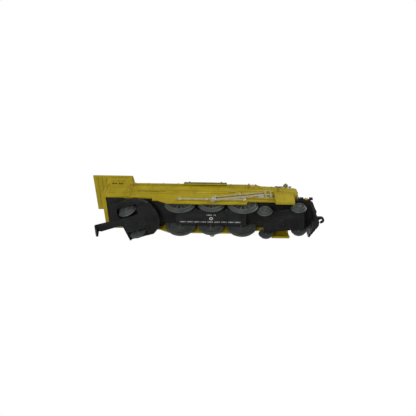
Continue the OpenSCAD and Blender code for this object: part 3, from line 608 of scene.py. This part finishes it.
steel = turned_steel("nickel_plated_steel", "#8d8f8f", "#bcbdb9", 0.3)
low, high = span("safety_valves")
shape = bmesh.new()
turned(shape, [(0, -0.3), (2.2, -0.3), (2.2, 0.12), (1.9, 0.3), (0, 0.3)],
       facing(((low.x + high.x) / 2, 0, boiler_z + back_radius - 0.25), (0, 0, 1)), 32)
for y in (-1.3, 0, 1.3):
    turned(shape, [(0, -0.2), (0.5, -0.2), (0.5, 0.35), (0.33, 0.45), (0.33, 0.95), (0.52, 1.1),
                   (0.55, 1.4), (0.42, 1.55), (0.2, 1.6), (0.2, 1.7), (0, 1.7)],
           facing(((low.x + high.x) / 2, y, low.z), (0, 0, 1)), 18)
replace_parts(build("safety_valve_group", shape, "locomotive", steel), "safety_valves")

# --- Handrails ------------------------------------------------------------------------------------
# A wire along each flank, held in ball-headed knobs and cranked down to the running board in
# front. It was fitted before spraying, so it has the shell's colour.
for side, sign in (("right", -1), ("left", 1)):
    low, high = span(side + "_handrail")
    rail_y = sign * 10.0
    rail_z = high.z - 0.5
    shape = bmesh.new()
    wire(shape, [(low.x, rail_y, rail_z), (-20, rail_y, rail_z), (0, rail_y, rail_z),
                 (23.9, rail_y, rail_z), (24.6, rail_y, rail_z - 0.2), (25.2, sign * 9.95, rail_z - 0.8),
                 (28.0, sign * 9.68, 19.0), (28.5, sign * 9.64, 18.3)], 0.28, 12)
    for x in (-41.1, -34, -26, -18, 10.5, 24.0):
        bmesh.ops.create_uvsphere(shape, u_segments=16, v_segments=10, radius=0.52,
                                  matrix=Matrix.Translation((x, rail_y, rail_z)))
        reach = 10.0 - math.sqrt(boiler_radius(x) ** 2 - (rail_z - boiler_z) ** 2) + 0.25
        turned(shape, [(0, 0), (0.24, 0), (0.24, reach - 0.45), (0.5, reach - 0.3), (0.5, reach),
                       (0, reach)], facing((x, rail_y, rail_z), (0, -sign, 0)), 14)
    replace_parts(build(side + "_handrail_wire", shape, "locomotive", mustard),
                side + "_handrail")

# --- Rods and valve gear ----------------------------------------------------------------------------
# Cast in relief on the skirts and brushed with aluminium paint. The rods have raised edges, with
# a nut on every crank pin and a bolt at each joint of the gear.
crank_x = 0.7
rod_z = (rod_low.z + rod_high.z) / 2
crank_z = rod_z - 1.3


def on_skirt(sign, x, proud, z):
    """A point that stands proud of a skirt's face."""
    return Vector((x, sign * (skirt + proud), z))


rod_silver = brushed_silver("aluminium_paint_brushed", 9.75, 10.9, "#998918", 0.42)
for side, sign in (("right", -1), ("left", 1)):
    for part, rounding in (("_side_rod", 0.09), ("_main_rod", 0.09), ("_valve_gear", 0.08)):
        recast(side + part, "locomotive", rod_silver, rounding)
    shape = bmesh.new()
    outer = sign * (skirt + 0.72)
    for z in (rod_z - 0.34, rod_z + 0.34):
        for low_x, high_x in ((-14.9, -3.7), (2.3, 15.5)):
            block(shape, (low_x, outer - 0.12, z - 0.1), (high_x, outer + 0.12, z + 0.1))
    for x in (-16.2, 16.8):
        hexagon(shape, on_skirt(sign, x, 1.4, rod_z), (0, sign, 0), 0.55, 0.35)
    hexagon(shape, on_skirt(sign, -2.6, 1.05, rod_z), (0, sign, 0), 0.5, 0.3)
    turned(shape, [(0, -0.3), (1.3, -0.3), (1.3, 0.05), (1.1, 0.2), (0.75, 0.22), (0.7, 0.45), (0, 0.5)],
           facing(on_skirt(sign, crank_x, 2.25, crank_z), (0, sign, 0)), 32)
    hexagon(shape, on_skirt(sign, crank_x, 2.7, crank_z), (0, sign, 0), 0.42, 0.25)
    # Raised edges of the tapering main rod
    crank, crosshead = Vector((2.4, 6.94)), Vector((24.6, 11.42))
    along = (crosshead - crank).normalized()
    for edge in (-1, 1):
        start = crank + Vector((-along.y, along.x)) * 0.46 * edge
        stop = crosshead + Vector((-along.y, along.x)) * 0.3 * edge
        wire(shape, [on_skirt(sign, end.x, 1.36, end.y) for end in (start, stop)], 0.12, 6)
    for x, z in ((14.6, 13.0), (28.3, 15.6), (2.0, 10.3), (31.1, 12.0)):
        hexagon(shape, on_skirt(sign, x, 1.1, z), (0, sign, 0), 0.45, 0.28)
    # Crosshead slipper, its oil cup, and the fine rods of the reversing link
    block(shape, (24.4, sign * skirt, 12.5), (27.2, sign * (skirt + 1.0), 13.3))
    turned(shape, [(0, -0.2), (0.34, -0.2), (0.34, 0.45), (0.2, 0.55), (0, 0.55)],
           facing(on_skirt(sign, 25.8, 0.5, 13.3), (0, 0, 1)), 14)
    wire(shape, [on_skirt(sign, 16.2, 0.25, 16.7), on_skirt(sign, 16.2, 0.35, 13.6)], 0.24)
    reversing_rod = ((27.2, 0.3, 17.4), (29.4, 0.35, 17.2), (31.6, 0.3, 16.8), (32.6, 0.2, 15.6))
    wire(shape, [on_skirt(sign, *corner) for corner in reversing_rod], 0.26)
    arched(shape, [(2.6, 0), (3.2, 0), (3.2, 0.62), (2.6, 0.62)],
           facing((11.4, sign * skirt, 13.1), (0, sign, 0)), math.radians(-32), math.radians(64), 16)
    build(side + "_gear_fittings", shape, "locomotive", rod_silver, 0.04)

# --- Chassis, keeper plate and screws ---------------------------------------------------------------
# One black ABS moulding carries the axles. The keeper clips on below and holds them in; its face
# has a low rim, grain and a plain print. Two cross-slotted screws go up into the shell.
recast("chassis_frame", "locomotive", black_abs, 0.18)
keeper_abs = moulded("black_abs_keeper", "#1c1d1c", "#2f302f", 0.38, 0.46, 0.8)
recast("keeper_plate", "locomotive", keeper_abs, 0.16)
low, high = span("keeper_plate")
shape = bmesh.new()
for x in (low.x + 0.55, high.x - 0.55):
    block(shape, (x - 0.16, -3.9, low.z - 0.13), (x + 0.16, 3.9, low.z + 0.2))
for y in (-4.05, 4.05):
    block(shape, (low.x + 0.4, y - 0.16, low.z - 0.13), (high.x - 0.4, y + 0.16, low.z + 0.2))
for x in (-8.1, 8.1):
    turned(shape, [(0, -0.3), (1.0, -0.3), (1.0, 0.1), (0.8, 0.22), (0.42, 0.22), (0.36, 0.1), (0, 0.1)],
           facing((x, -3.9, low.z), (0, 0, -1)), 28)
build("keeper_rim", shape, "locomotive", keeper_abs, 0.07)
# White pad printing: flat off-white ink, a little thin in its grain. It has plain marks only, a row
# of ticks in groups, a short row of them and a ring, and no letters.
white_ink = moulded("white_pad_ink", "#a9aca9", "#d9dbd7", 0.5, 0.55, 0.1)
shape = bmesh.new()
middle = (low.x + high.x) / 2
for first, count, y in ((middle - 16.2, 54, 2.75), (middle - 2.3, 8, -1.7)):
    for i in range(count):
        if i % 6 != 5:
            tick = first + i * 0.6
            block(shape, (tick, y - 0.33, low.z - 0.03),
                  (tick + 0.26 + 0.08 * (i % 3), y + 0.33, low.z + 0.1))
turned(shape, [(0.5, -0.1), (1.0, -0.1), (1.0, 0.03), (0.5, 0.03), (0.5, -0.1)],
       facing((middle, 0.55, low.z), (0, 0, -1)), 24)
build("keeper_print", shape, "locomotive", white_ink)
recast("chassis_screws", "locomotive", steel, 0.06)

# --- Pilot, hook, steps and deck lamps ----------------------------------------------------------------
# The black pilot is moulded with its deck, ribs and slats. The coupler hook goes in its nose, two
# steps are painted yellow, and two lamps in bronze paint stand on the deck.
recast("pilot", "locomotive", black_abs, 0.12)
low, high = span("pilot")
shape = bmesh.new()
for y in (-7.8, -6.05, -4.35, -2.6, 2.6, 4.35, 6.05, 7.8):
    front = high.x - abs(y) * 0.48
    wire(shape, [(front - 0.2, y, 10.1), (front - 0.3, y, 6.0), (front - 0.1, y, low.z + 0.4)], 0.3, 8)
block(shape, (high.x - 1.0, -2.1, 9.9), (high.x + 0.2, 2.1, 12.2))
for y in (-5.6, 5.6):
    block(shape, (44.4, y - 0.3, 9.9), (51.5, y + 0.3, 10.6))
for x in (45.6, 48.4, 51.2):
    block(shape, (x - 0.25, -7.2, 10.0), (x + 0.25, 7.2, 10.5))
    for y in (-8.0, 8.0):
        rivet(shape, (x, y, 12.1), (0, 0, 1), 0.25)
build("pilot_slats", shape, "locomotive", black_abs, 0.07)
recast("front_coupler_hook", "locomotive", black_abs, 0.12)
recast("deck_steps", "locomotive", mustard, 0.1)
bronze = sprayed_enamel("bronze_enamel", "#7d5c33", "#98744a", "#5c4424", 0.36)
low, high = span("deck_lamps")
shape = bmesh.new()
for sign in (-1, 1):
    turned(shape, [(0, -0.3), (0.75, -0.3), (0.75, 0.1), (0.42, 0.3), (0.42, 0.95), (0.85, 1.25),
                   (0.97, 1.8), (0.9, 2.45), (0.6, 2.8), (0.3, 2.88), (0.28, 3.05), (0, 3.05)],
           facing(((low.x + high.x) / 2, sign * 7.9, low.z), (0, 0, 1)), 28)
    turned(shape, [(0, 0.8), (0.6, 0.8), (0.6, 1.05), (0.45, 1.15), (0, 1.12)],
           facing(((low.x + high.x) / 2, sign * 7.9, low.z + 1.85), (1, 0, 0)), 18)
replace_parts(build("deck_lamp_bodies", shape, "locomotive", bronze), "deck_lamps")

# --- Driving wheelsets --------------------------------------------------------------------------------
# Six wheels moulded in grey-green plastic, pressed on steel axles. Each has a flange, a tread,
# twelve tapered spokes on a thin web, a hub, a balance weight and a crank-pin boss.
wheel_plastic = moulded("grey_green_acetal", "#434845", "#565b57", 0.45, 0.42, 0.35)
joints = {joint["name"]: joint for joint in frame["joints"]}


def slab(shape, outline, depth, space):
    """A flat outline of (x, y) corners in a space, extruded by a depth along its Z."""
    face = shape.faces.new([shape.verts.new(space @ Vector((x, y, 0))) for x, y in outline])
    made = bmesh.ops.extrude_face_region(shape, geom=[face])["geom"]
    push = space.to_3x3() @ Vector((0, 0, depth))
    bmesh.ops.translate(shape, verts=[v for v in made if isinstance(v, bmesh.types.BMVert)], vec=push)


flange_height = 0.95
wheel_low, wheel_high = span("middle_driver_left_wheel")
wheel_back = wheel_low.y
wheel_wide = wheel_high.y - wheel_low.y


def flange_side(flange, tread, root):
    """Outline of a flange, from its back edge to the tread, with a small fillet at its root."""
    return [(flange - 0.25, 0), (flange - 0.06, 0.08), (flange, 0.22), (flange - 0.07, 0.38),
            (flange - 0.3, 0.52), (tread + root, 0.62), (tread, 0.72)]


for row in ("rear", "middle", "front"):
    joint = joints[row + "_drivers_spin"]
    body = joint["child"]
    centre = Vector(joint["pos_m"]) / mm
    for side, sign in (("right", -1), ("left", 1)):
        node = f"{row}_driver_{side}_wheel"
        low, high = span(node)
        flange = (high.z - low.z) / 2
        tread = flange - flange_height
        wide = high.y - low.y
        back = low.y if sign > 0 else high.y
        space = facing((centre.x, back, centre.z), (0, sign, 0))
        shape = bmesh.new()
        turned(shape, [(tread - 1.25, 0), *flange_side(flange, tread, 0.08), (tread - 0.1, wide - 0.12),
                       (tread - 0.22, wide), (tread - 0.55, wide), (tread - 0.65, wide - 0.12),
                       (tread - 1.05, wide - 0.14), (tread - 1.22, wide - 0.3), (tread - 1.25, 0)], space,
               72)
        turned(shape, [(1.0, 0), (tread - 0.8, 0), (tread - 0.8, 0.38), (1.0, 0.38), (1.0, 0)], space, 48)
        turned(shape, [(1.0, 0.1), (2.1, 0.1), (2.1, wide - 0.42), (1.95, wide - 0.22), (1.62, wide - 0.14),
                       (1.5, wide - 0.02), (1.3, wide), (1.0, wide), (1.0, 0.1)], space, 36)
        for i in range(12):
            slab(shape, [(1.6, -0.46), (tread - 1.0, -0.3), (tread - 1.0, 0.3), (1.6, 0.46)], 1.0,
                 space @ spun(30 * i + 15) @ Matrix.Translation((0, 0, 0.3)))
        arched(shape, [(tread - 2.9, 0.3), (tread - 1.1, 0.3), (tread - 1.1, 1.42), (tread - 2.9, 1.34)],
               space, math.radians(62), math.radians(56), 16)
        turned(shape, [(0, 0.3), (1.15, 0.3), (1.15, wide - 0.2), (1.0, wide - 0.05), (0.55, wide - 0.05),
                       (0.5, wide - 0.2), (0, wide - 0.2)], space @ Matrix.Translation((0, -3.1, 0)), 24)
        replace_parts(build(node + "_moulding", shape, body, wheel_plastic, 0.07), node)
    axle = row + "_driver_axle"
    low, high = span(axle)
    radius = (high.z - low.z) / 2
    length = high.y - low.y
    shape = bmesh.new()
    turned(shape, [(0, 0), (radius - 0.25, 0), (radius, 0.2), (radius, length - 0.2),
                   (radius - 0.25, length), (0.35, length), (0.0, length - 0.3)],
           facing((centre.x, low.y, centre.z), (0, 1, 0)), 32)
    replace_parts(build(axle + "_turned", shape, body, steel), axle)

# --- Pilot truck ------------------------------------------------------------------------------------
# A black plastic truck on a riveted pin, with two small wheelsets. The wheels are discs with
# stepped rings and a domed cap over the axle end.


def small_wheel(node, joint, sign):
    """One disc wheel: flange, tread, two stepped rings and the domed cap."""
    axis = Vector(joint["axis"]).normalized()
    centre = Vector(joint["pos_m"]) / mm
    flange = centre.z
    tread = flange - flange_height
    wide = wheel_wide
    space = facing(centre + axis * sign * wheel_back, axis * sign)
    shape = bmesh.new()
    turned(shape, [(0.8, 0), *flange_side(flange, tread, 0.06), (tread - 0.08, wide - 0.1),
                   (tread - 0.2, wide), (tread - 0.42, wide), (tread - 0.52, wide - 0.12),
                   (tread - 0.6, wide - 0.42), (tread * 0.62, wide - 0.5), (tread * 0.58, wide - 0.28),
                   (tread * 0.5, wide - 0.26), (tread * 0.46, wide - 0.42), (1.3, wide - 0.42),
                   (1.26, wide - 0.1), (1.05, wide + 0.04), (0.7, wide + 0.16), (0.3, wide + 0.22),
                   (0, wide + 0.24), (0, wide - 0.3), (0.8, wide - 0.3), (0.8, 0)], space, 56)
    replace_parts(build(node + "_moulding", shape, joint["child"], wheel_plastic), node)


def plain_axle(node, joint):
    """A turned steel axle with chamfered ends."""
    axis = Vector(joint["axis"]).normalized()
    centre = Vector(joint["pos_m"]) / mm
    low, high = span(node)
    radius = (high.z - low.z) / 2
    half = wheel_back + wheel_wide - 0.26
    shape = bmesh.new()
    turned(shape, [(0, -half), (radius - 0.2, -half), (radius, -half + 0.2), (radius, half - 0.2),
                   (radius - 0.2, half), (0, half)], facing(centre, axis), 28)
    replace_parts(build(node + "_turned", shape, joint["child"], steel), node)


for row in ("rear", "front"):
    joint = joints[f"pilot_{row}_wheels_spin"]
    for side, sign in (("right", -1), ("left", 1)):
        small_wheel(f"pilot_{row}_{side}_wheel", joint, sign)
    plain_axle(f"pilot_{row}_axle", joint)


def truck_space(swivel, spin):
    """The space of a truck: its pivot on the floor line, X forward along the truck."""
    pivot = Vector(joints[swivel]["pos_m"]) / mm
    axis = Vector(joints[spin]["axis"])
    return Matrix.Translation((pivot.x, pivot.y, 0)) @ Matrix.Rotation(math.atan2(-axis.x, axis.y), 4, "Z")


truck_abs = moulded("black_abs_truck", "#1b1b1b", "#2b2b2b", 0.33, 0.48, 0.6)
recast("pilot_truck_frame", "pilot_truck", truck_abs, 0.14)
recast("pilot_truck_pivot", "locomotive", steel, 0.08)
space = truck_space("pilot_truck_swivel", "pilot_front_wheels_spin")
low, high = span("pilot_truck_frame")
shape = bmesh.new()
for y in (-5.15, -4.3, 4.3, 5.15):
    block(shape, (-7.4, y - 0.12, low.z - 0.14), (9.6, y + 0.12, low.z + 0.2), space)
for x in (5.2, 7.2, 9.4):
    block(shape, (x - 0.22, -4.0, low.z - 0.12), (x + 0.22, 4.0, low.z + 0.2), space)
turned(shape, [(0, -0.2), (2.0, -0.2), (2.0, 0.08), (1.8, 0.18), (1.3, 0.18), (1.2, 0.05), (0, 0.05)],
       space @ facing((0, 0, low.z), (0, 0, -1)), 36)
for y in (-1, 1):
    # Equaliser springs and their pockets on the frame's flank
    for i in range(4):
        block(shape, (-3.0 + i * 0.5, y * 5.3, 3.9 + i * 0.34), (3.0 - i * 0.5, y * 6.15, 4.14 + i * 0.34),
              space)
build("pilot_truck_ribs", shape, "pilot_truck", truck_abs, 0.06)

# --- Trailing truck and drawbar ------------------------------------------------------------------------
# A wide black plate with a rounded front, a box between its wheels, leaf springs outside, and a
# flat drawbar to the tender that ends in a tab bent down.
recast("trailing_truck_frame", "trailing_truck", truck_abs, 0.16)
recast("trailing_truck_pivot", "locomotive", steel, 0.08)
recast("drawbar", "trailing_truck", truck_abs, 0.38)
joint = joints["trailing_wheels_spin"]
for side, sign in (("right", -1), ("left", 1)):
    small_wheel(f"trailing_{side}_wheel", joint, sign)
plain_axle("trailing_axle", joint)
space = truck_space("trailing_truck_swivel", "trailing_wheels_spin")
low, high = span("trailing_truck_frame")
shape = bmesh.new()
block(shape, (-0.05, -8.0, low.z - 0.12), (0.35, 8.0, low.z + 0.3), space)
block(shape, (-12.35, -9.6, low.z - 0.12), (-11.95, 9.6, low.z + 0.3), space)
for y in (-1, 1):
    block(shape, (-12.2, y * 4.35 - 0.16, low.z - 0.12), (0.3, y * 4.35 + 0.16, low.z + 0.25), space)
    # Leaf springs and journal box on the outer frame
    for i in range(4):
        block(shape, (-11.2 + i * 0.8, y * 10.9, 7.55 + i * 0.32),
              (-3.0 - i * 0.8, y * 11.55, 7.78 + i * 0.32), space)
    block(shape, (-8.3, y * 10.7, 5.9), (-5.9, y * 11.6, 7.5), space)
    for x in (-8.0, -6.2):
        hexagon(shape, space @ Vector((x, y * 11.55, 6.7)), space.to_3x3() @ Vector((0, y, 0)), 0.28, 0.25)
for x, y in ((-10.4, 0), (-1.6, 3.0), (-1.6, -3.0)):
    turned(shape, [(0, -0.2), (0.9, -0.2), (0.9, 0.1), (0.7, 0.25), (0, 0.3)],
           space @ facing((x, y, low.z), (0, 0, -1)), 24)
build("trailing_truck_springs", shape, "trailing_truck", truck_abs, 0.06)

# --- Floor, light and camera ---------------------------------------------------------------------------
# A pale floor that is clear from below, a white room and three soft lamps. The camera looks up at
# the model's underside from its right.
shape = bmesh.new()
bmesh.ops.create_grid(shape, x_segments=1, y_segments=1, size=1.5)
mesh = bpy.data.meshes.new("pale_floor")
shape.to_mesh(mesh)
shape.free()
floor = bpy.data.objects.new("pale_floor", mesh)
floor.location = (0, 0, -0.05 * mm)
floor.visible_shadow = False
floor.visible_diffuse = False
floor.visible_glossy = False
bpy.context.scene.collection.objects.link(floor)
matt = bpy.data.materials.new("matt_card")
matt.use_nodes = True
tree = matt.node_tree
card = tree.nodes["Principled BSDF"]
feed(card, {"Base Color": linear("#f2f2f2"), "Roughness": 0.9})
under = add(tree, "NewGeometry").outputs["Backfacing"]
clear = add(tree, "BsdfTransparent").outputs["BSDF"]
both = add(tree, "MixShader", {0: under, 1: card.outputs["BSDF"], 2: clear})
feed(tree.nodes["Material Output"], {"Surface": both.outputs["Shader"]})
mesh.materials.append(matt)

world = bpy.data.worlds.new("white_room")
bpy.context.scene.world = world
world.use_nodes = True
tree = world.node_tree
rays = add(tree, "LightPath")
lit = add(tree, "MapRange", {"Value": rays.outputs["Is Glossy Ray"], "To Min": 0.5, "To Max": 0.08})
strength = add(tree, "MapRange", {"Value": rays.outputs["Is Camera Ray"], "To Min": lit.outputs["Result"],
                                  "To Max": 1.0})
feed(tree.nodes["Background"], {"Color": (1, 1, 1, 1), "Strength": strength.outputs["Result"]})


def soft_lamp(name, place, size, watts):
    """A round soft lamp aimed at the middle of the model."""
    light = bpy.data.lights.new(name, "AREA")
    light.shape = "DISK"
    light.size = size
    light.energy = watts
    holder = bpy.data.objects.new(name, light)
    holder.location = place
    holder.rotation_mode = "QUATERNION"
    holder.rotation_quaternion = (Vector((0, 0, 0.018)) - Vector(place)).to_track_quat("-Z", "Y")
    bpy.context.scene.collection.objects.link(holder)


soft_lamp("lamp_low", (-0.25, -0.40, -0.50), 0.30, 2.0)
soft_lamp("lamp_high", (0.55, -0.40, 0.38), 0.35, 2.6)
soft_lamp("lamp_behind", (-0.35, 0.40, 0.45), 0.40, 1.6)

lens_data = bpy.data.cameras.new("camera")
lens_data.sensor_width = 36
lens_data.lens = 35.26
lens_data.clip_start = 0.01
lens_data.clip_end = 20
camera = bpy.data.objects.new("camera", lens_data)
bpy.context.scene.collection.objects.link(camera)
azimuth, elevation = math.radians(-0.14), math.radians(-56.0)
back = Vector((math.sin(azimuth) * math.cos(elevation), -math.cos(azimuth) * math.cos(elevation),
               math.sin(elevation)))
across = Vector((math.cos(azimuth), math.sin(azimuth), 0))
stance = Matrix((across, back.cross(across), back)).transposed() @ Matrix.Rotation(math.radians(0.73), 3, "Z")
camera.rotation_mode = "QUATERNION"
camera.rotation_quaternion = stance.to_quaternion()
camera.location = (Vector((-1.69, 0, 15.16)) + back * 220.05) * mm
bpy.context.scene.camera = camera
bpy.context.scene.view_settings.view_transform = "Standard"
